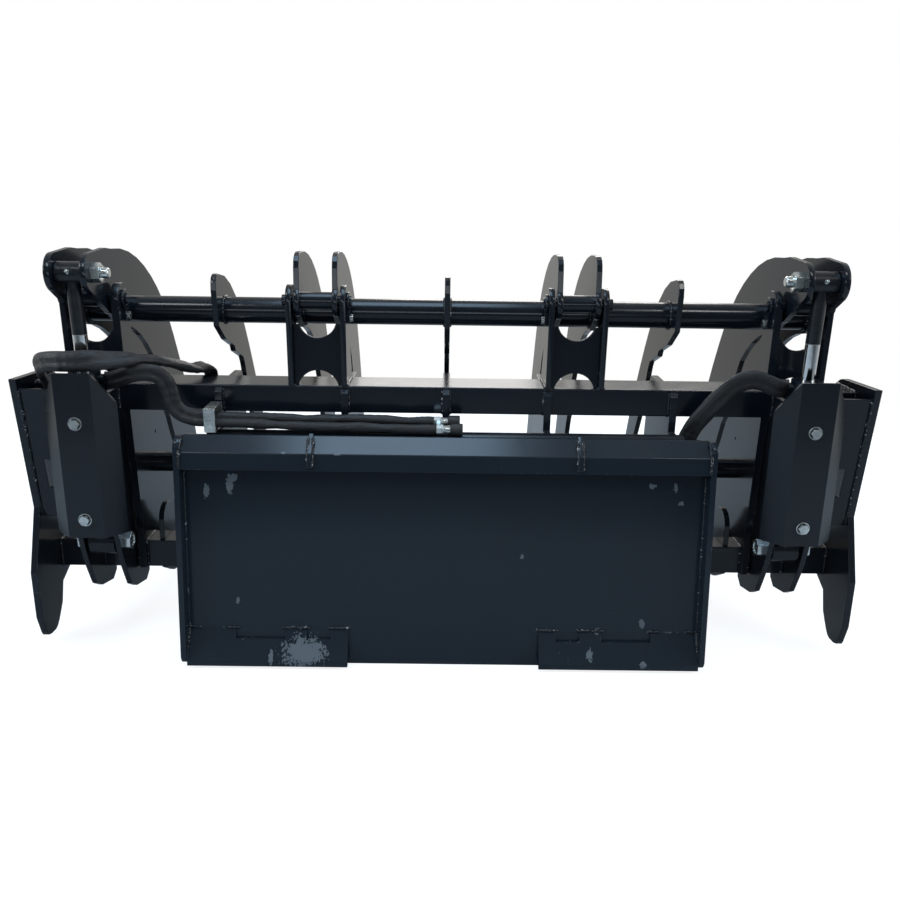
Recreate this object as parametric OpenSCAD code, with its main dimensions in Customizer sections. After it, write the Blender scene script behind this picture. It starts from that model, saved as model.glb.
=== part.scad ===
// Root rake grapple for a skid steer loader: a raking lower jaw of plate tines on two cross
// tubes, a coupler plate at the rear, and one clamp jaw worked by two hydraulic cylinders.
// Forward, where the tines point, is +Y. The origin is on the ground, in the middle of the
// coupler plate's bottom edge.

/* [Frame] */
// Width over the outer faces of the two side plates
overall_w = 1829; // [1780:1:1900]
// Thickness of the side plates
side_t = 15; // [10:0.5:18]
// Depth of the upper cross tube, front to rear
upper_tube_d = 100; // [90:1:110]
// Height of the upper cross tube
upper_tube_h = 60; // [50:1:66]
// Distance of the upper tube's rear face from the origin
upper_tube_y = 142; // [136:1:148]
// Height of the upper tube's underside above the ground
upper_tube_z = 537; // [530:1:541]
// Side of the square lower cross tube
lower_tube_s = 66; // [60:1:70]
// Distance of the lower tube's rear face from the origin
lower_tube_y = 177; // [172:1:182]
// Height of the lower tube's underside above the ground
lower_tube_z = 147; // [142:1:152]
// Wall of both cross tubes
tube_wall = 6; // [4:0.5:8]
// Diameter of the round pipe through the middle of the tines
mid_pipe_d = 48; // [40:1:54]
// Wall of the round pipes
pipe_wall = 4; // [3:0.5:6]
// Diameter of the round pipe behind the coupler's hood
back_pipe_d = 40; // [34:1:44]

/* [Coupler] */
// Width of the coupler over its side flanges
coupler_w = 1143; // [1120:1:1160]
// Height of the coupler plate along its slope
coupler_h = 511; // [500:1:516]
// Thickness of the coupler plate
coupler_t = 10; // [8:0.5:12]
// Lean of the coupler plate, top forward
coupler_lean = 6.5; // [5.5:0.1:7]
// Reach of the hood behind the coupler plate
hood_reach = 32; // [28:1:38]
// Fall of the sloping band of the hood
hood_fall = 34; // [28:1:38]
// Height of the upright lip of the hood
hood_lip = 37; // [30:1:44]
// Thickness of the hood, the side flanges and the lock ledges
hood_t = 8; // [6:0.5:10]
// Reach of the side flanges behind the coupler plate
flange_reach = 30; // [24:1:34]
// Thickness of the side flanges
flange_t = 12; // [8:0.5:14]
// Width of one lock ledge
lock_w = 350; // [330:1:370]
// Height of the lock ledges along the plate
lock_h = 82; // [76:1:90]
// Reach of the lock ledges behind the plate
lock_reach = 30; // [24:1:34]
// Width of the slot for the loader's lock pin
lock_slot_w = 109; // [80:1:120]
// Depth of the slot for the loader's lock pin
lock_slot_h = 22; // [16:1:26]

/* [Lower tines] */
// Thickness of the lower tines
tine_t = 16; // [12:0.5:18]
// Place of the inner lower tines from the middle
tine_inner_x = 222; // [221:0.5:225]
// Place of the outer lower tines from the middle
tine_outer_x = 498; // [490:1:510]
// Distance of the end tines, which carry the outer hinges, from the cylinders
tine_end_dx = 59; // [58:1:64]
// Reach of the tine tips from the origin
tine_reach = 829; // [800:1:850]

/* [Hinges] */
// Distance of the hinge axis from the origin, forward
hinge_y = 165; // [163:0.5:168]
// Height of the hinge axis above the ground
hinge_z = 779; // [775:1:783]
// Place of the inner hinges from the middle
hinge_inner_x = 281; // [280:0.5:283]
// Distance of the outer hinges and the cylinders from the rake's outer faces
hinge_inset = 149.5; // [147:0.5:151]
// Thickness of the hinge ears and the clamp's plates
ear_t = 12; // [10:0.5:12.5]
// Diameter of the hinge pins
hinge_pin_d = 25.4; // [22:0.1:28]
// Radius of the rounded ends round the hinge pins
hinge_boss_r = 34; // [30:0.5:35]
// Running clearance round a pin, on the radius
pin_play = 0.1; // [0.08:0.01:0.14]
// Clearance where a round piece is welded into a round hole
weld_play = 0.3; // [0.2:0.05:0.5]

/* [Clamp] */
// Diameter of the clamp's main tube
clamp_tube_d = 57; // [50:1:58]
// Wall of the clamp's main tube
clamp_tube_wall = 5; // [4:0.5:8]
// Place of the clamp's outer tines from the middle
clamp_side_x = 500; // [490:1:510]

/* [Cylinders] */
// Diameter of the cylinder barrels
barrel_d = 60; // [54:1:61]
// Bore of the cylinder barrels
bore_d = 50; // [46:0.5:51]
// Diameter of the piston rods
rod_d = 30; // [25:0.5:34]
// Distance between the pins with the clamp closed
pin_to_pin = 600; // [597:1:603]
// Length of a barrel from its base pin to its mouth
barrel_l = 392; // [385:1:400]
// Diameter of the cylinder pins
cyl_pin_d = 25.4; // [22:0.1:26]
// Outer diameter of the eyes on the cylinder's ends
eye_d = 62; // [58:1:64]
// Length of the eyes along their pins
eye_l = 56; // [50:1:60]

/* [Guards] */
// Width of the flat middle of a cylinder guard
guard_w = 77; // [72:1:82]
// Height of a cylinder guard
guard_h = 358; // [340:1:370]
// Thickness of the guard's sheet
guard_t = 5; // [3:0.5:6]
// Reach of the guard's wings, sideways and forward
guard_wing = 38; // [32:1:42]
// Diameter of the guard's bolts
guard_bolt_d = 12; // [10:0.5:14]

/* [Hoses] */
// Diameter of a sleeved pair of hoses
bundle_d = 34; // [28:1:36]
// Diameter of one bare hose
hose_d = 19; // [15:0.5:20]

/* [Hidden] */

paint = "#1c1e21";
zinc = "#c9ccc8";
chrome = "#d8dadd";
rubber = "#191a1c";

eps = 1;
hinge_outer_x = overall_w / 2 - hinge_inset;
tine_end_x = hinge_outer_x - tine_end_dx;
inner_w = overall_w - 2 * side_t;
side_x = overall_w / 2 - side_t / 2;
upper_tube_top = upper_tube_z + upper_tube_h;
upper_tube_front = upper_tube_y + upper_tube_d;
lower_tube_top = lower_tube_z + lower_tube_s;
lower_tube_front = lower_tube_y + lower_tube_s;

// Half of the coupler plate's thickness, measured level
coupler_half = coupler_t / 2 / cos(coupler_lean);
// Place of the coupler plate's front face at a height
function coupler_front(z) = z * tan(coupler_lean) + coupler_half;
// A point given along and square to the coupler plate, in the part's frame
function leaning(p) = [p[0] * cos(coupler_lean) + p[1] * sin(coupler_lean),
    p[1] * cos(coupler_lean) - p[0] * sin(coupler_lean)];
coupler_top_z = leaning([0, coupler_h])[1];
coupler_inner_w = coupler_w - 2 * flange_t;
hood_back = -coupler_t / 2 - hood_reach;
lock_inner_x = coupler_w / 2 - flange_t - lock_w;
gusset_x = 285;
gusset_t = 10;
// Room between faces that are welded along their edges
seam = 0.02;

// The pipe lies against the plate's front, a little below its top edge
back_pipe_drop = 15.7;
back_pipe_z = coupler_top_z - back_pipe_drop;
back_pipe_y = coupler_front(back_pipe_z) + back_pipe_d / 2 / cos(coupler_lean) + weld_play;
back_pipe_top = back_pipe_z + back_pipe_d / 2 + weld_play;
mid_pipe_y = 283;
mid_pipe_z = 375;

// The clamp's main tube clears the ears as it turns with the jaw
clamp_tube_y = hinge_y + 62;
clamp_tube_z = hinge_z - 30;
// Spacing of the clamp's plates and of the ears about each hinge
inner_arm_dx = 41;
inner_ear_dx = 58;
outer_arm_dx = 36;
outer_ear_dx = 53;

// The base pins sit in the brackets, and the rod pins one closed length above them
base_y = 107;
base_z = 243;
rod_dy = -35;
rod_dz = sqrt(pow(pin_to_pin, 2) - pow(rod_dy, 2));
rod_y = base_y + rod_dy;
rod_z = base_z + rod_dz;
cyl_tilt = atan2(-rod_dy, rod_dz);
bracket_dx = 40;
lug_r = 40;
// The open pivot: room round the base pin, which takes up the linkage's uneven swing
base_eye_bore = cyl_pin_d + 20;

guard_y = 8;
guard_z = 287;
guard_bolt_zs = [329, 540];
strap_y = 30;
strap_t = 6;
strap_h = 44;
boss_d = 26;

// Points of a cubic curve from a to d, without its first point
function curve(a, b, c, d, n) = [for (i = [1:n]) let (t = i / n, s = 1 - t)
    s * s * s * a + 3 * s * s * t * b + 3 * s * t * t * c + t * t * t * d];

// A row of teeth along the straight line from a to b, each tooth rising and then stepping back
function toothed(a, b, n, h) = let (
        along = (b - a) / n,
        out = [-along[1], along[0]] / norm(along) * h)
    [for (i = [0:n - 1], k = [0:1]) a + along * (i + 0.85 * k) + out * k];

// Places a flat outline, drawn with forward across and height up, as a plate across X
module plate_at(x, t) {
    translate([x - t / 2, 0, 0])
        rotate([90, 0, 90])
            linear_extrude(t)
                children();
}

// A round bar across X from x0 to x1
module bar_x(x0, x1, y, z, d) {
    translate([x0, y, z])
        rotate([0, 90, 0])
            cylinder(d = d, h = x1 - x0, $fn = 64);
}

module pipe_x(x0, x1, y, z, d, wall) {
    difference() {
        bar_x(x0, x1, y, z, d);
        bar_x(x0 - eps, x1 + eps, y, z, d - 2 * wall);
    }
}

module disc(p, r) {
    translate(p)
        circle(r = r, $fn = 64);
}

// A hexagon head or nut lying across X
module hex_x(x0, x1, y, z, across) {
    translate([x0, y, z])
        rotate([0, 90, 0])
            cylinder(d = across / cos(30), h = x1 - x0, $fn = 6);
}

module upper_tube() {
    color(paint)
        plate_at(0, inner_w)
            difference() {
                translate([upper_tube_y, upper_tube_z])
                    square([upper_tube_d, upper_tube_h]);
                translate([upper_tube_y + tube_wall, upper_tube_z + tube_wall])
                    square([upper_tube_d - 2 * tube_wall, upper_tube_h - 2 * tube_wall]);
            }
}

module lower_tube() {
    color(paint)
        plate_at(0, inner_w)
            difference() {
                translate([lower_tube_y, lower_tube_z])
                    square(lower_tube_s);
                translate([lower_tube_y + tube_wall, lower_tube_z + tube_wall])
                    square(lower_tube_s - 2 * tube_wall);
            }
}

side_rear_top = [54, 622];
side_rear_knee = [95, 323];

module side_plate(side) {
    front = upper_tube_front + 12;
    color(paint)
        plate_at(side * side_x, side_t)
            polygon(concat([side_rear_top, side_rear_knee, [43, 187], [43, 78], [58, 34]],
                curve([58, 34], [61, 22], [70, 20], [102, 20], 3),
                curve([102, 20], [116, 22], [126, 36], [150, 66], 4),
                [[166, 113], [214, 134], [front, 190], [front, 573]],
                curve([front, 573], [front, 600], [front - 24, 613], [front - 50, 613], 6)));
}

// The rear panel that closes the gap between a side plate and the cylinder's bracket
module end_panel(side) {
    x0 = hinge_outer_x + bracket_dx + ear_t / 2;
    w = inner_w / 2 - x0;
    panel_t = 8;
    slope = (side_rear_knee[0] - side_rear_top[0]) / (side_rear_top[1] - side_rear_knee[1]);
    low = 300;
    high = 600;
    rear_low = side_rear_top[0] + 4 + slope * (side_rear_top[1] - low);
    rear_high = side_rear_top[0] + 4 + slope * (side_rear_top[1] - high);
    color(paint)
        difference() {
            plate_at(side * (x0 + w / 2), w)
                polygon([[rear_low, low], [rear_low + panel_t, low],
                    [rear_high + panel_t, high], [rear_high, high]]);
            translate([side * (x0 + w / 2) - 18, 0, 372])
                cube([36, 200, 66]);
        }
}

module mid_pipe() {
    reach = tine_end_x + tine_t / 2 + 6;
    color(paint)
        pipe_x(-reach, reach, mid_pipe_y, mid_pipe_z, mid_pipe_d, pipe_wall);
}

module back_pipe() {
    reach = tine_outer_x + tine_t / 2 + 6;
    color(paint)
        pipe_x(-reach, reach, back_pipe_y, back_pipe_z, back_pipe_d, pipe_wall);
}

module coupler_plate() {
    color(paint)
        plate_at(0, coupler_inner_w)
            polygon([[-coupler_half, 0], [coupler_half, 0], leaning([coupler_t / 2, coupler_h]),
                leaning([-coupler_t / 2, coupler_h])]);
}

hood_top = coupler_h;
hood_fold = coupler_h - hood_fall;
hood_low = hood_fold - hood_lip;

module coupler_hood() {
    lap = hood_t * 1.45;
    color(paint)
        plate_at(0, coupler_inner_w)
            polygon([leaning([-coupler_t / 2, hood_top]), leaning([hood_back, hood_fold]),
                leaning([hood_back, hood_low]), leaning([hood_back + hood_t, hood_low]),
                leaning([hood_back + hood_t, hood_fold - hood_t * 0.4]),
                leaning([-coupler_t / 2, hood_top - lap])]);
}

// Two short ribs over the hood, one each side of the middle
module coupler_gussets() {
    proud = 6;
    color(paint)
        for (side = [-1, 1])
            plate_at(side * gusset_x, gusset_t)
                polygon([leaning([-coupler_t / 2 - seam, hood_top + seam]),
                    leaning([hood_back - seam, hood_fold + seam]),
                    leaning([hood_back - seam, hood_low + 4]),
                    leaning([hood_back - proud, hood_low + 8]),
                    leaning([hood_back - proud, hood_fold + 2]),
                    leaning([-coupler_t / 2 - 3, hood_top + proud])]);
}

module coupler_flanges() {
    back = -coupler_t / 2 - flange_reach - hood_t / 2;
    round_r = 22;
    color(paint)
        for (side = [-1, 1])
            plate_at(side * (coupler_w - flange_t) / 2, flange_t)
                rotate(-coupler_lean)
                    union() {
                        translate([back, round_r])
                            square([-back + coupler_t / 2, coupler_h - 2 * round_r]);
                        translate([back + round_r, 6])
                            square([-back + coupler_t / 2 - round_r, coupler_h - 8]);
                        disc([back + round_r, round_r + 6], round_r);
                        disc([back + round_r, coupler_h - round_r - 2], round_r);
                    }
}

// Sloping ledges at the foot of the plate, with the slots that take the loader's lock pins
module coupler_lock_ledges() {
    foot = 3;
    small_slot_w = 52;
    color(paint)
        for (side = [-1, 1])
            difference() {
                plate_at(side * (lock_inner_x + lock_w / 2), lock_w)
                    polygon([leaning([-coupler_t / 2, lock_h]),
                        leaning([-coupler_t / 2 - lock_reach, foot + 12]),
                        leaning([-coupler_t / 2 - lock_reach, foot]),
                        leaning([-coupler_t / 2 - lock_reach + hood_t, foot]),
                        leaning([-coupler_t / 2, lock_h - 1.8 * hood_t])]);
                for (slot = [[402, lock_slot_w], [274, small_slot_w]])
                    translate([side * slot[0] - slot[1] / 2, -60, lock_h - lock_slot_h])
                        cube([slot[1], 60 + coupler_front(lock_h) - 2 * coupler_half,
                            lock_slot_h + eps]);
            }
}

tip = [tine_reach, 18];
tine_heel = [150, 128];
// The end tines, which show beside the coupler, don't reach below the lower tube there
end_heel = [lower_tube_y - 6, lower_tube_z + 2];

// The lower edge of a tine, from its heel to its tip
function tine_underside(heel) = concat([heel],
    curve(heel, [420, 90], [560, -6], [tine_reach - 60, 0], 10),
    [[tine_reach - 8, 6], tip]);

// The raking edge of a tine, from its tip back and up to the front of the upper tube
function tine_topside() = concat(
    curve(tip, [tine_reach - 190, 62], [470, 150], [414, 254], 10),
    toothed([414, 254], [372, 350], 3, 7),
    [[366, 388], [356, 487], [343, 570]],
    curve([343, 570], [339, 590], [332, 592], [318, 592], 4));

module tube_notches() {
    translate([upper_tube_y, upper_tube_z])
        square([upper_tube_d, upper_tube_h]);
    translate([lower_tube_y, lower_tube_z])
        square(lower_tube_s);
    disc([mid_pipe_y, mid_pipe_z], mid_pipe_d / 2 + weld_play);
}

// A lower tine that reaches back to the coupler plate and stands against its front face
module tine(x) {
    strap = 14;
    rear = upper_tube_y - strap;
    rib_foot = back_pipe_z + 12;
    rib_seat = back_pipe_z - 12;
    color(paint)
        plate_at(x, tine_t)
            difference() {
                polygon(concat(tine_underside(tine_heel), tine_topside(),
                    [[upper_tube_y - 2, 592], [rear, 584], [rear, rib_foot],
                    [back_pipe_y, rib_foot], [coupler_front(rib_seat) + seam, rib_seat],
                    [coupler_front(96) + seam, 96], [96, 96]]));
                tube_notches();
                translate([upper_tube_y, upper_tube_z])
                    square([upper_tube_d, upper_tube_h + eps]);
                disc([back_pipe_y, back_pipe_z], back_pipe_d / 2 + weld_play);
                disc([142, 316], 44);
            }
}

ear_rear = hinge_y - hinge_boss_r;
// The ear's front edge, kept behind the path of the clamp's main tube
ear_nose = [hinge_y + 31, hinge_z - 14];
ear_waist = [hinge_y + 30, hinge_z - 66];

module ear_outline(front) {
    difference() {
        union() {
            disc([hinge_y, hinge_z], hinge_boss_r);
            polygon(concat([[ear_rear, hinge_z], [ear_rear + 6, upper_tube_top],
                [upper_tube_front - 4, upper_tube_top]], front,
                [ear_waist, ear_nose]));
        }
        disc([hinge_y, hinge_z], hinge_pin_d / 2 + weld_play);
    }
}

// An end tine runs up over the front of the upper tube and ends in a hinge ear
module tine_end(side) {
    color(paint)
        plate_at(side * tine_end_x, tine_t)
            difference() {
                union() {
                    ear_outline([[upper_tube_front - 4, upper_tube_z], [343, 570],
                        [318, 592], [upper_tube_front + 16, 640]]);
                    polygon(concat(tine_underside(end_heel), tine_topside(),
                        [[upper_tube_y + 2, 592], [upper_tube_y + 2, upper_tube_z],
                        [lower_tube_y - 12, lower_tube_top], [lower_tube_y - 12, end_heel[1]]]));
                }
                translate([upper_tube_y, upper_tube_z])
                    square([upper_tube_d, upper_tube_h]);
                translate([lower_tube_y, lower_tube_z])
                    square(lower_tube_s);
                disc([mid_pipe_y, mid_pipe_z], mid_pipe_d / 2 + weld_play);
                disc([300, 445], 4);
                disc([hinge_y, hinge_z], hinge_pin_d / 2 + weld_play);
            }
}

// The two short tines that start from a hump on the lower tube
module short_tines() {
    short_x = tine_end_x - 42;
    short_t = 12;
    color(paint)
        for (side = [-1, 1])
            plate_at(side * short_x, short_t)
                difference() {
                    polygon(concat([[lower_tube_y + 8, 142], [lower_tube_y + 8, 240]],
                        curve([lower_tube_y + 8, 240], [180, 290], [226, 304], [262, 284], 6),
                        curve([262, 284], [330, 170], [560, 70], [tine_reach - 70, 22], 10),
                        [[tine_reach - 74, 6]],
                        curve([tine_reach - 74, 6], [600, 0], [420, 70], [240, 112], 8)));
                    translate([lower_tube_y, lower_tube_z])
                        square(lower_tube_s);
                }
}

module hinge_ear(x) {
    color(paint)
        plate_at(x, ear_t)
            ear_outline([[upper_tube_front - 4, upper_tube_top + 24]]);
}

module hinge_ears_inner(side) {
    for (dx = [-inner_ear_dx, inner_ear_dx])
        hinge_ear(side * (hinge_inner_x + dx));
}

module hinge_ears_end() {
    for (side = [-1, 1])
        hinge_ear(side * (hinge_outer_x + outer_ear_dx));
}

// A brace across a pair of ears, waisted by a round cut at its top and one at its foot
module hinge_brace(x0, x1, top) {
    w = x1 - x0;
    y = 150;
    t = 10;
    r = w / 2 - 7;
    mid = (x0 + x1) / 2;
    translate([0, y + t, 0])
        rotate([90, 0, 0])
            linear_extrude(t)
                difference() {
                    translate([x0, upper_tube_top])
                        square([w, top - upper_tube_top]);
                    disc([mid, upper_tube_top - 12], r);
                    disc([mid, top + 12], r * 0.92);
                }
}

module hinge_braces() {
    in0 = hinge_inner_x - inner_ear_dx + ear_t / 2;
    in1 = hinge_inner_x + inner_ear_dx - ear_t / 2;
    out0 = tine_end_x + tine_t / 2;
    out1 = hinge_outer_x + outer_ear_dx - ear_t / 2;
    color(paint)
        for (side = [-1, 1]) {
            hinge_brace(min(side * in0, side * in1), max(side * in0, side * in1), 730);
            hinge_brace(min(side * out0, side * out1), max(side * out0, side * out1), 712);
        }
}

// The two plates that hold the foot of a cylinder and carry its guard
module cylinder_bracket(side) {
    top = base_z + barrel_l - gland_l - port_room;
    rear = guard_y + 18;
    color(paint)
        for (dx = [-bracket_dx, bracket_dx])
            plate_at(side * (hinge_outer_x + dx), ear_t)
                difference() {
                    polygon(concat([[upper_tube_y, top], [rear + 20, top], [rear, top - 24],
                        [rear, 318], [66, 262]],
                        curve([66, 262], [72, 226], [88, 188], [100, 164], 4),
                        [[116, 131], [148, 112], [214, 97], [lower_tube_front - 4, 112],
                        [lower_tube_front, lower_tube_z], [lower_tube_y, lower_tube_z],
                        [lower_tube_y, lower_tube_top], [lower_tube_y + 30, lower_tube_top],
                        [lower_tube_y + 22, upper_tube_z - 78], [upper_tube_y + 38, upper_tube_z],
                        [upper_tube_y, upper_tube_z]]));
                    disc([base_y, base_z], cyl_pin_d / 2 + weld_play);
                }
}

// Cross straps with threaded bosses, to which the guards are bolted
module guard_straps() {
    x0 = hinge_outer_x - bracket_dx + ear_t / 2;
    w = 2 * bracket_dx - ear_t;
    color(paint)
        for (side = [-1, 1], z = guard_bolt_zs)
            difference() {
                union() {
                    translate([side * (x0 + w / 2) - w / 2, strap_y, z - strap_h / 2])
                        cube([w, strap_t, strap_h]);
                    translate([side * hinge_outer_x, strap_y + eps, z])
                        rotate([90, 0, 0])
                            cylinder(d = boss_d, h = strap_y + eps - guard_y - guard_t, $fn = 48);
                }
                translate([side * hinge_outer_x, strap_y + strap_t + eps, z])
                    rotate([90, 0, 0])
                        cylinder(d = guard_bolt_d + 2 * pin_play, h = 60, $fn = 48);
            }
}

// A guard is one sheet, folded on two lines, with the top corners of its wings cut away
module cylinder_guard(side) {
    half = guard_w / 2;
    outer = half + guard_wing;
    bend = guard_t * tan(22.5);
    slant = guard_t * sin(45);
    corner_drop = 90;
    color(paint)
        difference() {
            translate([side * hinge_outer_x, guard_y, guard_z])
                linear_extrude(guard_h)
                    polygon([[-outer, guard_wing], [-half, 0], [half, 0], [outer, guard_wing],
                        [outer - slant, guard_wing + slant], [half - bend, guard_t],
                        [-half + bend, guard_t], [-outer + slant, guard_wing + slant]]);
            for (way = [-1, 1])
                translate([side * hinge_outer_x, guard_y + guard_wing + 20, guard_z + guard_h])
                    rotate([90, 0, 0])
                        linear_extrude(guard_wing + 30)
                            polygon([[way * half, 0], [way * (outer + 10), eps],
                                [way * (outer + 10), -corner_drop]]);
            for (z = guard_bolt_zs)
                translate([side * hinge_outer_x, guard_y + guard_t + eps, z])
                    rotate([90, 0, 0])
                        cylinder(d = guard_bolt_d + 1, h = guard_t + 2 * eps, $fn = 48);
        }
}

// Hexagon bolts with a washer face, screwed into the bosses of the straps
module guard_bolts() {
    head_h = 8;
    washer_t = 2.5;
    washer_d = 28;
    color(zinc)
        for (side = [-1, 1], z = guard_bolt_zs)
            translate([side * hinge_outer_x, guard_y, z])
                rotate([90, 0, 0]) {
                    translate([0, 0, washer_t])
                        cylinder(d = 19 / cos(30), h = head_h, $fn = 6);
                    cylinder(d = washer_d, h = washer_t, $fn = 48);
                    translate([0, 0, guard_y - strap_y - strap_t + 1])
                        cylinder(d = guard_bolt_d, h = strap_y + strap_t - guard_y, $fn = 48);
                }
}

hinge_spans = [[-hinge_outer_x - outer_ear_dx - ear_t / 2, -tine_end_x + tine_t / 2],
    [-hinge_inner_x - inner_ear_dx - ear_t / 2, -hinge_inner_x + inner_ear_dx + ear_t / 2],
    [hinge_inner_x - inner_ear_dx - ear_t / 2, hinge_inner_x + inner_ear_dx + ear_t / 2],
    [tine_end_x - tine_t / 2, hinge_outer_x + outer_ear_dx + ear_t / 2]];

hinge_pin_end = 11;

// Round pins through the ears and the clamp's bushings
module hinge_pins() {
    color(zinc)
        for (span = hinge_spans)
            bar_x(span[0] - hinge_pin_end, span[1] + hinge_pin_end, hinge_y, hinge_z, hinge_pin_d);
}

lock_tab_t = 6;
lock_bolt_drop = 36;

// The face of the ear at a pin's inner end, where its keeper tab lies
function lock_face(span) = span[0] + span[1] > 0 ? span[0] : span[1];

// Keeper tabs on the pins' inner ends
module pin_locks() {
    color(paint)
        for (span = hinge_spans)
            plate_at(lock_face(span) - sign(lock_face(span)) * lock_tab_t / 2, lock_tab_t)
                difference() {
                    union() {
                        disc([hinge_y, hinge_z], 20);
                        translate([hinge_y - 10, hinge_z - lock_bolt_drop - 10])
                            square([20, lock_bolt_drop + 10]);
                    }
                    disc([hinge_y, hinge_z], hinge_pin_d / 2 + weld_play);
                }
}

// The small bolts that hold the keeper tabs to the ears
module pin_lock_bolts() {
    head_h = 7;
    color(zinc)
        for (span = hinge_spans)
            let (side = sign(lock_face(span)), x = lock_face(span) - side * lock_tab_t)
                hex_x(min(x, x - side * head_h), max(x, x - side * head_h), hinge_y,
                    hinge_z - lock_bolt_drop, 14);
}

// A cylinder pin with a nut at its inner end and a head at its outer end
module cylinder_pin(side, y, z, half, head_across, head_h, nut_h) {
    color(zinc)
        for (piece = [0, 1])
            translate([side * hinge_outer_x, y, z])
                scale([side, 1, 1]) {
                    if (piece == 0) {
                        bar_x(-half - nut_h + 2, half, 0, 0, cyl_pin_d);
                        hex_x(half, half + head_h, 0, 0, head_across);
                    }
                    if (piece == 1)
                        difference() {
                            hex_x(-half - nut_h, -half, 0, 0, head_across);
                            bar_x(-half - nut_h - eps, -half + eps, 0, 0,
                                cyl_pin_d + 2 * pin_play);
                        }
                }
}

module base_pins() {
    for (side = [-1, 1])
        cylinder_pin(side, base_y, base_z, bracket_dx + ear_t / 2, 36, 12, 14);
}

module rod_pins() {
    for (side = [-1, 1])
        cylinder_pin(side, rod_y, rod_z, outer_arm_dx + ear_t / 2, 36, 5, 18);
}

// Everything of a cylinder is drawn up from its base pin and then leant to its working line
module cylinder_axis(side) {
    translate([side * hinge_outer_x, base_y, base_z])
        rotate([cyl_tilt, 0, 0])
            children();
}

base_cap_z = 38;
gland_l = 34;
port_r = 11;
// Distance of the upper port's face from the cylinder's middle
port_face = 40;
// Room between the gland and the top of the bracket
port_room = 12;

module barrel(side) {
    color(paint)
        cylinder_axis(side) {
            difference() {
                union() {
                    translate([-eye_l / 2, 0, 0])
                        rotate([0, 90, 0])
                            cylinder(d = eye_d, h = eye_l, $fn = 64);
                    translate([0, 0, eye_d / 4])
                        cylinder(d = barrel_d, h = barrel_l - gland_l - eye_d / 4, $fn = 64);
                    translate([0, barrel_d * 0.38, 70])
                        rotate([-90, 0, 0])
                            cylinder(r = port_r, h = 14, $fn = 32);
                }
                translate([-eye_l / 2 - eps, 0, 0])
                    rotate([0, 90, 0])
                        cylinder(d = base_eye_bore, h = eye_l + 2 * eps, $fn = 64);
                translate([0, 0, base_cap_z])
                    cylinder(d = bore_d, h = barrel_l, $fn = 64);
            }
        }
}

// The gland closes the barrel's mouth, guides the rod and holds the upper port
module gland(side) {
    color(paint)
        cylinder_axis(side) {
            difference() {
                union() {
                    translate([0, 0, barrel_l - gland_l])
                        cylinder(d = barrel_d + 4, h = gland_l, $fn = 64);
                    translate([-side * barrel_d * 0.38, 0, barrel_l - gland_l / 2])
                        rotate([0, -side * 90, 0])
                            cylinder(r = port_r, h = port_face - barrel_d * 0.38, $fn = 32);
                }
                cylinder(d = rod_d + 2 * pin_play, h = barrel_l + eps, $fn = 64);
            }
        }
}

piston_l = 26;
piston_z = 180;

module rod(side) {
    color(chrome)
        cylinder_axis(side)
            difference() {
                union() {
                    translate([0, 0, piston_z])
                        cylinder(d = rod_d, h = pin_to_pin - piston_z, $fn = 64);
                    translate([-eye_l / 2, 0, pin_to_pin])
                        rotate([0, 90, 0])
                            cylinder(d = eye_d * 0.72, h = eye_l, $fn = 64);
                }
                translate([-eye_l / 2 - eps, 0, pin_to_pin])
                    rotate([0, 90, 0])
                        cylinder(d = cyl_pin_d + 2 * pin_play, h = eye_l + 2 * eps, $fn = 64);
                translate([0, 0, piston_z - eps])
                    cylinder(d = rod_d * 0.6, h = piston_l + eps, $fn = 64);
            }
}

// The piston runs in the bore on the rod's turned-down end
module piston(side) {
    color(zinc)
        cylinder_axis(side) {
            translate([0, 0, piston_z - piston_l])
                cylinder(d = bore_d - 2 * pin_play, h = piston_l, $fn = 64);
            translate([0, 0, piston_z - eps])
                cylinder(d = rod_d * 0.6 - 2 * pin_play, h = piston_l, $fn = 48);
        }
}

module clamp_tube() {
    reach = hinge_outer_x + outer_arm_dx + ear_t / 2 + 4;
    color(paint)
        pipe_x(-reach, reach, clamp_tube_y, clamp_tube_z, clamp_tube_d, clamp_tube_wall);
}

clamp_tip = [790, 118];

// The long sweep of a big clamp plate, from above the hinge over the back to the tip
function arm_back() = concat(
    curve([190, 881], [330, 884], [470, 800], [545, 690], 8),
    curve([545, 690], [650, 530], [740, 330], clamp_tip, 8));

// The gripping edge of a big clamp plate, from the tip back to the main tube
function arm_grip() = concat(
    [clamp_tip - [10, 4]],
    curve(clamp_tip - [10, 4], [660, 190], [560, 290], [500, 430], 8),
    toothed([500, 430], [430, 582], 4, 8),
    curve([430, 582], [380, 650], [300, 706], [206, 716], 6));

module arm_outline() {
    difference() {
        union() {
            disc([hinge_y, hinge_z], hinge_boss_r);
            polygon(concat([[206, 716], [hinge_y - 10, hinge_z - 30], [hinge_y - 22, hinge_z + 22],
                [148, 850]], curve([148, 850], [150, 872], [166, 881], [190, 881], 4),
                arm_back(), arm_grip()));
        }
        disc([clamp_tube_y, clamp_tube_z], clamp_tube_d / 2 + weld_play);
    }
}

module clamp_arms_inner(side) {
    color(paint)
        for (dx = [-inner_arm_dx, inner_arm_dx])
            plate_at(side * (hinge_inner_x + dx), ear_t)
                difference() {
                    arm_outline();
                    disc([hinge_y, hinge_z], hinge_pin_d / 2 + 2 * pin_play);
                }
}

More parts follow.
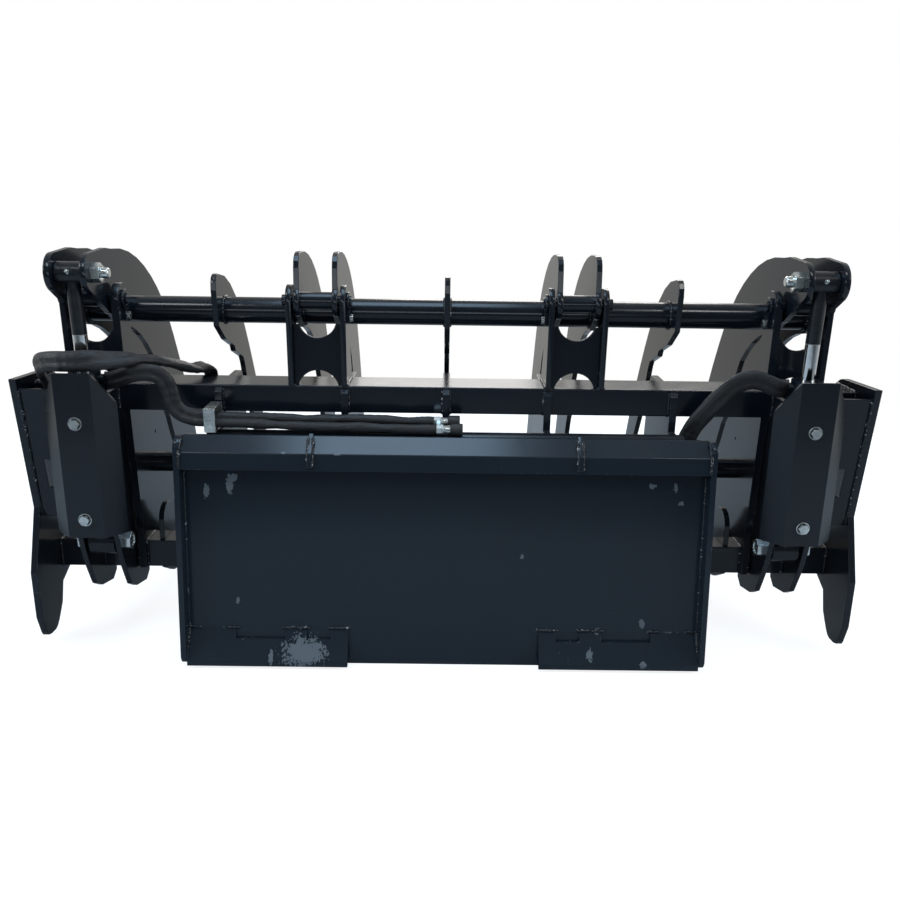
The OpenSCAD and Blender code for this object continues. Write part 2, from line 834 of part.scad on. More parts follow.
// The outer arms carry a lug behind the hinge for the cylinder's rod pin
module clamp_arms_outer(side) {
    color(paint)
        for (dx = [-outer_arm_dx, outer_arm_dx])
            plate_at(side * (hinge_outer_x + dx), ear_t)
                difference() {
                    union() {
                        arm_outline();
                        disc([rod_y, rod_z], lug_r);
                        polygon([[rod_y - 24, rod_z - 32], [hinge_y - 14, hinge_z - 31],
                            [hinge_y + 20, hinge_z], [200, 880], [152, 886],
                            [rod_y + 4, rod_z + lug_r]]);
                    }
                    disc([rod_y, rod_z], cyl_pin_d / 2 + weld_play);
                    disc([hinge_y, hinge_z], hinge_pin_d / 2 + 2 * pin_play);
                    disc([clamp_tube_y, clamp_tube_z], clamp_tube_d / 2 + weld_play);
                }
}

// The smaller tines in the middle and halfway out are welded to the main tube alone
module clamp_tine(x) {
    small_tip = [640, 232];
    color(paint)
        plate_at(x, ear_t)
            difference() {
                polygon(concat(
                    [[158, 722], [150, 800]],
                    curve([150, 800], [150, 826], [160, 834], [178, 833], 4),
                    curve([178, 833], [330, 826], [430, 660], [505, 543], 8),
                    curve([505, 543], [575, 430], [625, 330], small_tip, 6),
                    [small_tip - [10, 6]],
                    curve(small_tip - [10, 6], [545, 330], [455, 440], [396, 572], 6),
                    curve([396, 572], [390, 590], [384, 604], [372, 616], 3),
                    toothed([372, 616], [208, 698], 2, 9)));
                disc([clamp_tube_y, clamp_tube_z], clamp_tube_d / 2 + weld_play);
            }
}

// Bushings between the clamp's plates, running on the hinge pins
module hinge_bushings() {
    d = 38;
    in0 = hinge_inner_x - inner_arm_dx + ear_t / 2;
    in1 = hinge_inner_x + inner_arm_dx - ear_t / 2;
    out0 = hinge_outer_x - outer_arm_dx + ear_t / 2;
    out1 = hinge_outer_x + outer_arm_dx - ear_t / 2;
    color(paint)
        for (side = [-1, 1], span = [[in0, in1], [out0, out1]])
            difference() {
                bar_x(min(side * span[0], side * span[1]), max(side * span[0], side * span[1]),
                    hinge_y, hinge_z, d);
                bar_x(min(side * span[0], side * span[1]) - eps,
                    max(side * span[0], side * span[1]) + eps, hinge_y, hinge_z,
                    hinge_pin_d + 2 * pin_play);
            }
}

// Routes of the hoses, from point to point along their middles
main_route = [[-858, 120, 572], [-862, 118, 600], [-868, 100, 632], [-852, 70, 652],
    [-820, 38, 664], [-765, 26, 667], [-712, 42, 667], [-662, 80, 664], [-628, 112, 656],
    [-603, 140, 645], [-582, 175, 630], [-566, 208, 619], [-555, 240, 617], [-548, 258, 607],
    [-545, 265, 585], [-543, 266, 530], [-540, 260, 470], [-538, 235, 410], [-534, 198, 352],
    [-524, 162, 318], [-502, 144, 303], [-420, 140, 301], [-330, 138, 300], [-220, 138, 300],
    [-110, 138, 300], [0, 138, 300], [110, 138, 300], [220, 138, 300], [330, 138, 300],
    [420, 140, 301], [498, 142, 304], [530, 146, 322], [546, 148, 370], [541, 144, 430],
    [532, 126, 483], [540, 113, 520], [560, 108, 552], [586, 106, 584], [611, 104, 610],
    [634, 102, 626], [656, 98, 632], [680, 92, 627], [700, 87, 619], [712, 86, 617],
    [724.8, 86, 617]];
left_route = [[-724.8, 86, 617], [-712, 86, 617], [-690, 82, 624], [-664, 74, 633],
    [-636, 70, 637], [-611, 72, 633], [-595, 76, 618], [-587, 80, 592], [-582, 82, 566],
    [-566, 82, 547], [-540, 80, 539], [-526, 80, 538], [-512, 80, 538]];
supply_a_route = [[-511.5, 91, 538], [-440, 91, 538], [-380, 92, 537], [-320, 92, 535],
    [-260, 93, 535], [-200, 93, 536], [-140, 93, 535], [-80, 92, 533], [-26, 92, 533]];
supply_b_route = [[-511.5, 69, 530], [-440, 69, 530], [-380, 68, 528], [-320, 67, 526],
    [-260, 66, 525], [-200, 66, 525], [-140, 66, 524], [-80, 66, 522], [-20, 66, 522]];

function unit(v) = v / norm(v);

// One ring of a tube, square to the route at its point
function ring(p, way, r, n) = let (
        across = unit(cross(way, abs(way[2]) > 0.9 ? [0, 1, 0] : [0, 0, 1])),
        up = cross(across, way))
    [for (k = [0:n - 1]) p + r * (cos(360 * k / n) * across + sin(360 * k / n) * up)];

// A closed tube of n sides, swept along a route
module swept(route, d, n) {
    last = len(route) - 1;
    ways = [for (i = [0:last]) unit(route[min(i + 1, last)] - route[max(i - 1, 0)])];
    points = [for (i = [0:last]) each ring(route[i], ways[i], d / 2, n)];
    walls = [for (i = [0:last - 1], k = [0:n - 1])
        [i * n + k, i * n + (k + 1) % n, (i + 1) * n + (k + 1) % n, (i + 1) * n + k]];
    polyhedron(points, concat(walls, [[for (k = [n - 1:-1:0]) k]],
        [[for (k = [0:n - 1]) last * n + k]]), convexity = 10);
}

module hose_bundle_main() {
    color(rubber)
        swept(main_route, bundle_d, 10);
}

module hose_bundle_left() {
    color(rubber)
        swept(left_route, bundle_d * 0.8, 8);
}

module supply_hose_a() {
    color(rubber)
        swept(supply_a_route, hose_d, 8);
}

module supply_hose_b() {
    color(rubber)
        swept(supply_b_route, hose_d, 8);
}

// A folded zinc clamp that stands on the pipe and holds the hoses down
module hose_clamp() {
    clamp_x = -500;
    clamp_w = 24;
    fold_t = 4;
    color(zinc)
        plate_at(clamp_x, clamp_w)
            difference() {
                translate([52, back_pipe_top])
                    square([68, 52]);
                translate([52 + fold_t, back_pipe_top + fold_t])
                    square([68 - 2 * fold_t, 52 - 2 * fold_t]);
            }
}

// Swivel fittings on the free ends of the supply hoses
module hose_fittings() {
    color(zinc)
        for (route = [supply_a_route, supply_b_route])
            let (end = route[len(route) - 1]) {
                translate(end)
                    rotate([0, 90, 0])
                        cylinder(d = 22, h = 14, $fn = 6);
                translate(end + [14, 0, 0])
                    rotate([0, 90, 0])
                        cylinder(d = 18, h = 16, $fn = 48);
            }
}

module dust_caps() {
    color(rubber)
        for (route = [supply_a_route, supply_b_route])
            let (end = route[len(route) - 1])
                translate(end + [30, 0, 0])
                    rotate([0, 90, 0])
                        cylinder(d = 26, h = 26, $fn = 48);
}

upper_tube();
lower_tube();
side_plate(-1);  // side_plate_left
side_plate(1);  // side_plate_right
end_panel(-1);  // end_panel_left
end_panel(1);  // end_panel_right
mid_pipe();
back_pipe();
coupler_plate();
coupler_hood();
coupler_gussets();
coupler_flanges();
coupler_lock_ledges();
tine(0);  // tine_centre
tine(-tine_inner_x);  // tine_inner_left
tine(tine_inner_x);  // tine_inner_right
tine(-tine_outer_x);  // tine_outer_left
tine(tine_outer_x);  // tine_outer_right
tine_end(-1);  // tine_end_left
tine_end(1);  // tine_end_right
short_tines();
hinge_ears_inner(-1);  // hinge_ears_inner_left
hinge_ears_inner(1);  // hinge_ears_inner_right
hinge_ears_end();
hinge_braces();
cylinder_bracket(-1);  // cylinder_bracket_left
cylinder_bracket(1);  // cylinder_bracket_right
guard_straps();
cylinder_guard(-1);  // cylinder_guard_left
cylinder_guard(1);  // cylinder_guard_right
guard_bolts();
hinge_pins();
pin_locks();
pin_lock_bolts();
base_pins();
hose_clamp();
hose_bundle_main();
hose_bundle_left();
supply_hose_a();
supply_hose_b();
hose_fittings();
dust_caps();
barrel(-1);  // barrel_left
barrel(1);  // barrel_right
gland(-1);  // gland_left
gland(1);  // gland_right
rod(-1);  // rod_left
rod(1);  // rod_right
piston(-1);  // piston_left
piston(1);  // piston_right
clamp_tube();
clamp_arms_inner(-1);  // clamp_arms_inner_left
clamp_arms_inner(1);  // clamp_arms_inner_right
clamp_arms_outer(-1);  // clamp_arms_outer_left
clamp_arms_outer(1);  // clamp_arms_outer_right
clamp_tine(0);  // clamp_tine_centre
clamp_tine(-clamp_side_x);  // clamp_tine_left
clamp_tine(clamp_side_x);  // clamp_tine_right
hinge_bushings();
rod_pins();
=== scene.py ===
import bpy
import numpy as np
from mathutils import Matrix, Vector


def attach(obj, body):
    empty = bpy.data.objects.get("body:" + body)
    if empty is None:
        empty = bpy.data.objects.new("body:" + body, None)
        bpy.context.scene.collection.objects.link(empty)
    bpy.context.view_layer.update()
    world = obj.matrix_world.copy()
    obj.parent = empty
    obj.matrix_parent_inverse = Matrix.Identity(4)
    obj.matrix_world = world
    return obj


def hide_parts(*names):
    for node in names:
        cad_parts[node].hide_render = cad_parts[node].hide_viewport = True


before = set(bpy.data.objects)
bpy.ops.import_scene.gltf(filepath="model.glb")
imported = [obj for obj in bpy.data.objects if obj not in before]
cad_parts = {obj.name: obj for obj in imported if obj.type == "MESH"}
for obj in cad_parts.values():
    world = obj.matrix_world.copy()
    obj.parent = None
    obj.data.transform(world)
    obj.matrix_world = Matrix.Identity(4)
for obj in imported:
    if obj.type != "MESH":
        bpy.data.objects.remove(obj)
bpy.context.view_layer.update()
scene = bpy.context.scene

# Camera
# It stands 1.8 m behind the coupler at a height of about a metre and looks forward and down at
# the rake.
camera = bpy.data.objects.new("camera", bpy.data.cameras.new("camera"))
scene.collection.objects.link(camera)
camera.data.sensor_width = 36.0
camera.data.lens = 36.0
camera.data.clip_end = 100.0
tilt_down, turn, lean = np.radians(16.6), np.radians(-0.29), np.radians(0.8)
camera.matrix_world = (
    Matrix.Translation((0.0, -1.787, 1.029))
    @ Matrix.Rotation(turn, 4, "Z")
    @ Matrix.Rotation(np.pi / 2 - tilt_down, 4, "X")
    @ Matrix.Rotation(lean, 4, "Z")
)
scene.camera = camera

# Hoses
# Two pairs of rubber hoses in woven nylon sleeves feed the cylinders, and two bare hoses run
# from the folded clamp to the capped fittings. Each lies on the steel that carries it.


def smooth_route(points, spacing=0.005):
    """Points about one spacing apart on the curve that passes through the given ones.

    Between two points it is p(t) = h00 a + h10 m0 + h01 b + h11 m1, the cubic whose end
    slopes m are half the way from the point before to the point after.
    """
    p = np.array(points, float) / 1000.0
    m = np.gradient(p, axis=0)
    parts = []
    for a, b, m0, m1 in zip(p[:-1], p[1:], m[:-1], m[1:]):
        t = np.linspace(0.0, 1.0, max(int(np.linalg.norm(b - a) / spacing), 2) + 1)[:-1, None]
        parts.append(
            (2 * t**3 - 3 * t**2 + 1) * a
            + (t**3 - 2 * t**2 + t) * m0
            + (3 * t**2 - 2 * t**3) * b
            + (t**3 - t**2) * m1
        )
    return np.vstack(parts + [p[-1:]])


def turned_frames(route, up):
    """Two directions square to the route at each point, carried along without twisting.

    The first one at each step is the last one less its parts along the two tangents a and b,
    v - a (v.a) - b (v.b), and one long. The second is square to it and to the route.
    """
    along = np.gradient(route, axis=0)
    along /= np.linalg.norm(along, axis=1)[:, None]
    wide = [np.cross(along[0], up)]
    for a, b in zip(along[:-1], along[1:]):
        v = wide[-1] - a * (wide[-1] @ a)
        v = v - b * (v @ b)
        wide.append(v / np.linalg.norm(v))
    wide[0] = wide[0] / np.linalg.norm(wide[0])
    wide = np.array(wide)
    return wide, np.cross(wide, along)


def carried(name, route, section, up, turn=None):
    """A closed tube: the section's points (s, t) go to route + s wide + t tall at each step.

    The section may be one outline, or one per point of the route, and turn is its twist
    about the route in radians. Its UV map runs once round the outline in metres and along
    the route in metres.
    """
    wide, tall = turned_frames(route, np.array(up, float))
    section = np.broadcast_to(section, (len(route),) + np.shape(section)[-2:])
    if turn is not None:
        c, s = np.cos(turn)[:, None], np.sin(turn)[:, None]
        wide, tall = wide * c + tall * s, tall * c - wide * s
    grid = (
        route[:, None]
        + section[:, :, :1] * wide[:, None]
        + section[:, :, 1:] * tall[:, None]
    )
    rows, n = grid.shape[:2]
    r = np.arange(rows - 1)[:, None] * n
    k = np.arange(n)[None]
    k2 = (k + 1) % n
    quads = np.stack([r + k, r + k2, r + n + k2, r + n + k], -1).reshape(-1, 4)
    ends = [list(range(n - 1, -1, -1)), list(range((rows - 1) * n, rows * n))]
    mesh = bpy.data.meshes.new(name)
    mesh.from_pydata(grid.reshape(-1, 3).tolist(), [], quads.tolist() + ends)
    edge = np.linalg.norm(np.diff(section[0], axis=0, append=section[0][:1]), axis=1)
    around = np.concatenate([[0.0], np.cumsum(edge)])
    length = np.concatenate([[0.0], np.cumsum(np.linalg.norm(np.diff(route, axis=0), axis=1))])
    uv = np.zeros((len(quads), 4, 2))
    kk = np.broadcast_to(k, (rows - 1, n)).reshape(-1)
    rr = np.broadcast_to(np.arange(rows - 1)[:, None], (rows - 1, n)).reshape(-1)
    uv[:, (0, 3), 0] = around[kk][:, None]
    uv[:, (1, 2), 0] = around[kk + 1][:, None]
    uv[:, (0, 1), 1] = length[rr][:, None]
    uv[:, (2, 3), 1] = length[rr + 1][:, None]
    layer = mesh.uv_layers.new(name="around_and_along")
    flat = np.zeros((len(mesh.loops), 2))
    flat[: len(quads) * 4] = uv.reshape(-1, 2)
    layer.data.foreach_set("uv", flat.ravel())
    mesh.polygons.foreach_set("use_smooth", [True] * len(quads) + [False, False])
    piece = bpy.data.objects.new(name, mesh)
    scene.collection.objects.link(piece)
    return piece


def sleeve_section(width, height, depth, sides=36):
    """Outline of a sleeve over two hoses: s = w/2 cos^0.8 a, t = h/2 sin a (1 - depth e),
    with e = exp(-(2 s / w)^2 / 0.05), a flat oval creased between the two hoses."""
    a = np.linspace(0, 2 * np.pi, sides, endpoint=False)
    s = np.sign(np.cos(a)) * np.abs(np.cos(a)) ** 0.8 * width / 2
    crease = 1 - depth * np.exp(-((s / width * 2) ** 2) / 0.05)
    return np.stack([s, np.sin(a) * height / 2 * crease], -1)


def creased(section, route, seed):
    """The section again at each step of the route, with slow waves w and with folds that are
    deeper where it is bent. Its height is multiplied by
    1 + 0.16 w - 0.3 (0.25 + 0.75 k) |sin(170 d + 3 w)|^0.7 and its width by 1 + 0.04 w, with k
    the bend from 0 to 1, d the distance along the route and w the mean of three sines of d."""
    rng = np.random.default_rng(seed)
    steps = np.diff(route, axis=0)
    distance = np.concatenate([[0.0], np.cumsum(np.linalg.norm(steps, axis=1))])
    along = np.gradient(route, axis=0)
    along /= np.linalg.norm(along, axis=1)[:, None]
    bend = np.linalg.norm(np.gradient(along, axis=0), axis=1)
    bend = np.clip(np.convolve(bend, np.ones(7) / 7, "same") / 0.05, 0.0, 1.0)
    waves = sum(np.sin(distance * f + rng.uniform(0, 6.28)) for f in (31.0, 57.0, 88.0)) / 3
    folds = np.abs(np.sin(distance * 170.0 + 3.0 * waves)) ** 0.7
    out = section[None] * np.ones((len(route), 1, 1))
    out[:, :, 1] *= (1 + 0.16 * waves - 0.3 * (0.25 + 0.75 * bend) * folds)[:, None]
    out[:, :, 0] *= (1 + 0.04 * waves)[:, None]
    return out


main_route = smooth_route(
    [[-858, 120, 572], [-862, 118, 600], [-868, 100, 632], [-852, 70, 652],
     [-820, 38, 664], [-765, 26, 667], [-712, 42, 667], [-662, 80, 664], [-628, 112, 656],
     [-603, 140, 645], [-582, 175, 630], [-566, 208, 619], [-555, 240, 617], [-548, 258, 607],
     [-545, 265, 585], [-543, 266, 530], [-540, 260, 470], [-538, 235, 410], [-534, 198, 352],
     [-524, 162, 318], [-502, 144, 303], [-420, 140, 301], [-330, 138, 300], [-220, 138, 300],
     [-110, 138, 300], [0, 138, 300], [110, 138, 300], [220, 138, 300], [330, 138, 300],
     [420, 140, 301], [498, 142, 304], [530, 146, 322], [546, 148, 370], [541, 144, 430],
     [532, 126, 483], [540, 113, 520], [560, 108, 552], [586, 106, 584], [611, 104, 610],
     [634, 102, 626], [656, 98, 632], [680, 92, 627], [700, 87, 619], [712, 86, 617],
     [724.8, 86, 617]])
# The loop over the upper tube stands on its edge and lies flat again a little further on.
share_of_route = np.linspace(0.0, 1.0, len(main_route))
loop_end, flat_again = 0.09, 0.14
main_twist = np.radians(np.interp(share_of_route, [0.0, loop_end, flat_again], [-84, -84, 0]))
main_w, left_w, supply_w = 0.043, 0.037, 0.019
main_sleeve = carried(
    "hose_sleeve_main", main_route, creased(sleeve_section(main_w, 0.023, 0.3), main_route, 3),
    up=(0.35, -0.8, 0.5), turn=main_twist)

left_route = smooth_route(
    [[-724.8, 86, 617], [-712, 86, 617], [-690, 82, 624], [-664, 74, 633],
     [-636, 70, 637], [-611, 72, 633], [-595, 76, 618], [-587, 80, 592], [-582, 82, 566],
     [-566, 82, 547], [-540, 80, 539], [-526, 80, 538], [-512, 80, 538]])
left_sleeve = carried(
    "hose_sleeve_left", left_route, creased(sleeve_section(left_w, 0.021, 0.5), left_route, 5),
    up=(0, -1, 0))

supply_a_route = smooth_route(
    [[-511.5, 91, 538], [-440, 91, 538], [-380, 92, 537], [-320, 92, 535],
     [-260, 93, 535], [-200, 93, 536], [-140, 93, 535], [-80, 92, 533], [-26, 92, 533]])
supply_b_route = smooth_route(
    [[-511.5, 69, 530], [-440, 69, 530], [-380, 68, 528], [-320, 67, 526],
     [-260, 66, 525], [-200, 66, 525], [-140, 66, 524], [-80, 66, 522], [-20, 66, 522]])
hose_r = 0.0105
around_ring = np.linspace(0, 2 * np.pi, 20, endpoint=False)
hose_ring = hose_r * np.stack([np.cos(around_ring), np.sin(around_ring)], -1)
hose_a = carried("supply_hose_first", supply_a_route, creased(hose_ring, supply_a_route, 7),
                 up=(0, 0, 1))
hose_b = carried("supply_hose_second", supply_b_route, creased(hose_ring, supply_b_route, 9),
                 up=(0, 0, 1))


for sleeve, route, width, node in (
    (main_sleeve, main_route, main_w, "hose_bundle_main"),
    (left_sleeve, left_route, left_w, "hose_bundle_left"),
):
    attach(sleeve, "rake_frame")
    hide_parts(node)
for hose, route, node in (
    (hose_a, supply_a_route, "supply_hose_a"),
    (hose_b, supply_b_route, "supply_hose_b"),
):
    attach(hose, "rake_frame")
    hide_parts(node)

# The sleeves' nylon: fine yarns that cross at a slant, a little greyer where they are rubbed.
weave = bpy.data.node_groups.new("woven_yarn", "ShaderNodeTree")
for socket, kind, way in (
    ("Along", "NodeSocketFloat", "INPUT"), ("Around", "NodeSocketFloat", "INPUT"),
    ("Yarn width", "NodeSocketFloat", "INPUT"), ("Height", "NodeSocketFloat", "OUTPUT"),
    ("Rub", "NodeSocketFloat", "OUTPUT"),
):
    weave.interface.new_socket(socket, in_out=way, socket_type=kind)
g_in, g_out = weave.nodes.new("NodeGroupInput"), weave.nodes.new("NodeGroupOutput")


def step(tree, operation, *values):
    """A Math node of a tree, whose inputs are numbers or other nodes' outputs."""
    node = tree.nodes.new("ShaderNodeMath")
    node.operation = operation
    for socket, value in zip(node.inputs, values):
        if isinstance(value, (int, float)):
            socket.default_value = value
        else:
            tree.links.new(value, socket)
    return node.outputs[0]


# Height = (1 + sin(pi (u + v)) sin(pi (u - v))) / 2, with u and v in widths of a yarn.
u = step(weave, "DIVIDE", g_in.outputs["Around"], g_in.outputs["Yarn width"])
v = step(weave, "DIVIDE", g_in.outputs["Along"], g_in.outputs["Yarn width"])
rise = step(weave, "SINE", step(weave, "MULTIPLY", step(weave, "ADD", u, v), np.pi))
fall = step(weave, "SINE", step(weave, "MULTIPLY", step(weave, "SUBTRACT", u, v), np.pi))
woven = step(weave, "MULTIPLY", rise, fall)
weave.links.new(step(weave, "MULTIPLY_ADD", woven, 0.5, 0.5), g_out.inputs["Height"])
rub_noise = weave.nodes.new("ShaderNodeTexNoise")
rub_noise.inputs["Scale"].default_value = 9.0
rub_noise.inputs["Detail"].default_value = 5.0
rubbed = step(weave, "MULTIPLY_ADD", rub_noise.outputs["Fac"], 3.0, -1.2)
rubbed = step(weave, "MINIMUM", step(weave, "MAXIMUM", rubbed, 0.0), 1.0)
weave.links.new(rubbed, g_out.inputs["Rub"])


def noise(tree, place, scale, detail=4.0, rough=0.5, stretch=None):
    """A noise texture of a tree on the given coordinates, turned and stretched if asked."""
    node = tree.nodes.new("ShaderNodeTexNoise")
    node.inputs["Scale"].default_value = scale
    node.inputs["Detail"].default_value = detail
    node.inputs["Roughness"].default_value = rough
    if stretch is not None:
        mapping = tree.nodes.new("ShaderNodeMapping")
        mapping.inputs["Rotation"].default_value = stretch[0]
        mapping.inputs["Scale"].default_value = stretch[1]
        tree.links.new(place, mapping.inputs["Vector"])
        place = mapping.outputs["Vector"]
    tree.links.new(place, node.inputs["Vector"])
    return node.outputs["Fac"]


def blend_colour(tree, factor, first, second):
    """A Mix node between two colours, each a tuple or another node's output."""
    node = tree.nodes.new("ShaderNodeMix")
    node.data_type = "RGBA"
    tree.links.new(factor, node.inputs["Factor"])
    for socket, colour in ((node.inputs["A"], first), (node.inputs["B"], second)):
        if isinstance(colour, tuple):
            socket.default_value = (*colour, 1.0)
        else:
            tree.links.new(colour, socket)
    return node.outputs["Result"]


nylon = bpy.data.materials.new("woven_nylon_sleeve")
nylon.use_nodes = True
tree = nylon.node_tree
shader = tree.nodes["Principled BSDF"]
lay = tree.nodes.new("ShaderNodeUVMap")
lay.uv_map = "around_and_along"
ways = tree.nodes.new("ShaderNodeSeparateXYZ")
tree.links.new(lay.outputs["UV"], ways.inputs["Vector"])
yarn = tree.nodes.new("ShaderNodeGroup")
yarn.node_tree = weave
yarn.inputs["Yarn width"].default_value = 0.0022
tree.links.new(ways.outputs["X"], yarn.inputs["Around"])
tree.links.new(ways.outputs["Y"], yarn.inputs["Along"])
new_black, rubbed_black = (0.0050, 0.0062, 0.0082), (0.017, 0.019, 0.023)
tree.links.new(blend_colour(tree, yarn.outputs["Rub"], new_black, rubbed_black),
               shader.inputs["Base Color"])
shader.inputs["Roughness"].default_value = 0.46
shader.inputs["Sheen Weight"].default_value = 0.04
shader.inputs["Sheen Roughness"].default_value = 0.5
crumple = noise(tree, lay.outputs["UV"], 60.0, 3.0, 0.6, ((0.0, 0.0, 0.0), (1.0, 0.35, 1.0)))
yarn_relief = step(tree, "MULTIPLY", yarn.outputs["Height"], 0.5)
relief = step(tree, "MULTIPLY_ADD", crumple, 6.0, yarn_relief)
bump = tree.nodes.new("ShaderNodeBump")
bump.inputs["Strength"].default_value = 0.7
bump.inputs["Distance"].default_value = 0.0008
tree.links.new(relief, bump.inputs["Height"])
tree.links.new(bump.outputs["Normal"], shader.inputs["Normal"])
for sleeve in (main_sleeve, left_sleeve, hose_a, hose_b):
    sleeve.data.materials.append(nylon)

# Paint
# All steel plate carries one coat of blue-black gloss. It wears along its edges, gathers dust
# on top and has ragged chips where loaders and chains have knocked it.
wear = bpy.data.node_groups.new("paint_wear", "ShaderNodeTree")
for socket, kind, way in (
    ("Edge width", "NodeSocketFloat", "INPUT"), ("Chipping", "NodeSocketFloat", "INPUT"),
    ("Dust", "NodeSocketFloat", "OUTPUT"), ("Chip", "NodeSocketFloat", "OUTPUT"),
    ("Scuff", "NodeSocketFloat", "OUTPUT"), ("Peel", "NodeSocketFloat", "OUTPUT"),
):
    wear.interface.new_socket(socket, in_out=way, socket_type=kind)
w_in, w_out = wear.nodes.new("NodeGroupInput"), wear.nodes.new("NodeGroupOutput")
w_place = wear.nodes.new("ShaderNodeTexCoord")


def ramp(tree, value, low, high):
    """0 below low and 1 above high, straight between them, or falling where low is above."""
    node = tree.nodes.new("ShaderNodeMapRange")
    node.clamp = True
    node.inputs["From Min"].default_value = low
    node.inputs["From Max"].default_value = high
    tree.links.new(value, node.inputs["Value"])
    return node.outputs["Result"]


# Chips lie in patches along the edges, with a few lone ones on the faces.
place = w_place.outputs["Object"]
rounded = wear.nodes.new("ShaderNodeBevel")
rounded.samples = 4
wear.links.new(w_in.outputs["Edge width"], rounded.inputs["Radius"])
true_face = wear.nodes.new("ShaderNodeNewGeometry")
facing = wear.nodes.new("ShaderNodeVectorMath")
facing.operation = "DOT_PRODUCT"
wear.links.new(rounded.outputs["Normal"], facing.inputs[0])
wear.links.new(true_face.outputs["True Normal"], facing.inputs[1])
near_edge = step(wear, "SUBTRACT", 1.0, facing.outputs["Value"])
edge = ramp(wear, near_edge, 0.02, 0.18)
flakes = ramp(wear, noise(wear, place, 70.0, 8.0, 0.65), 0.53, 0.60)
patches = ramp(wear, noise(wear, place, 6.0, 3.0), 0.54, 0.68)
edge_chips = step(wear, "MULTIPLY", step(wear, "MULTIPLY", edge, flakes), patches)
lone = step(wear, "MULTIPLY", ramp(wear, noise(wear, place, 22.0, 9.0, 0.7), 0.76, 0.79),
            ramp(wear, noise(wear, place, 3.0, 2.0), 0.55, 0.7))
chips = step(wear, "MULTIPLY", step(wear, "MAXIMUM", edge_chips, lone), w_in.outputs["Chipping"])
wear.links.new(chips, w_out.inputs["Chip"])

# Dust is a thin film all over, and more settles on faces that look up.
split = wear.nodes.new("ShaderNodeSeparateXYZ")
wear.links.new(true_face.outputs["Normal"], split.inputs["Vector"])
upward = ramp(wear, split.outputs["Z"], 0.2, 0.95)
settled = step(wear, "MULTIPLY", upward, ramp(wear, noise(wear, place, 14.0, 8.0, 0.6), 0.3, 0.7))
film = ramp(wear, noise(wear, place, 2.4, 5.0), 0.35, 0.75)
wear.links.new(step(wear, "MULTIPLY_ADD", film, 0.3, step(wear, "MULTIPLY", settled, 0.7)),
               w_out.inputs["Dust"])

# Fine scratches run two ways, and the gloss has a slight peel.
scratch_a = noise(wear, place, 60.0, 2.0, 0.5, ((0.3, 0.5, 0.2), (0.04, 1.0, 1.0)))
scratch_b = noise(wear, place, 80.0, 2.0, 0.5, ((0.0, -0.6, 0.9), (1.0, 1.0, 0.03)))
scratched = step(wear, "MAXIMUM", ramp(wear, scratch_a, 0.73, 0.76),
                 ramp(wear, scratch_b, 0.74, 0.77))
wear.links.new(step(wear, "MULTIPLY", scratched, patches), w_out.inputs["Scuff"])
wear.links.new(noise(wear, place, 190.0, 2.0, 0.5), w_out.inputs["Peel"])


dust_grey, scuff_grey = (0.05, 0.05, 0.049), (0.20, 0.23, 0.27)
# The second grey below is the light grey of the weld beads' painted glints, a painted highlight.
primer_grey, painted_glint_grey = (0.105, 0.13, 0.155), (0.36, 0.39, 0.42)


